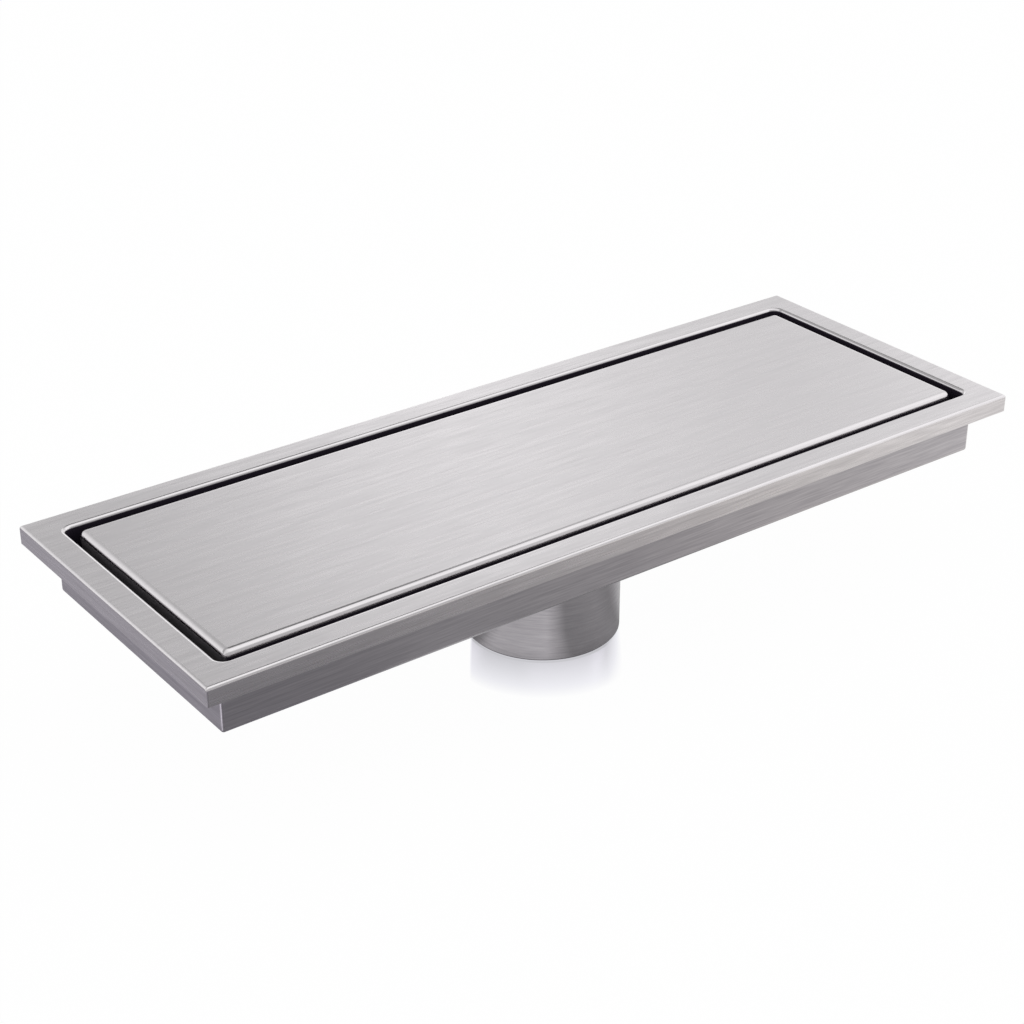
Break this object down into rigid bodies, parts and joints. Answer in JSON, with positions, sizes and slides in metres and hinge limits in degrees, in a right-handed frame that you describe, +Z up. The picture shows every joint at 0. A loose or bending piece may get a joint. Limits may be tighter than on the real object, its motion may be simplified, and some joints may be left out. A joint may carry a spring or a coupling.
{
  "type": "linear shower drain",
  "caption": "Rectangular stainless shower floor drain with a turned-down flange, shallow trough, round outlet stub, hair strainer and a flush lift-out cover with a slot all round.",
  "frame": {"origin": "centre of the outlet pipe's lower end, on the plane the drain stands on", "axes": "+X along the drain, +Y across it, +Z up towards the cover"},
  "size_m": [0.3, 0.11, 0.059],
  "materials": {
    "body_sheet": "brushed along the drain",
    "outlet_tube": "brushed round the tube",
    "cover_sheet": "brushed along the drain",
    "strainer_sheet": "pressed, satin",
    "bracket_sheet": "mill finish"
  },
  "bodies": {
    "root": {"drain_body": "body_sheet", "outlet_pipe": "outlet_tube", "cover": "cover_sheet", "hair_strainer": "strainer_sheet", "bracket_front_left": "bracket_sheet", "bracket_front_right": "bracket_sheet", "bracket_back_left": "bracket_sheet", "bracket_back_right": "bracket_sheet"}
  },
  "joints": []
}
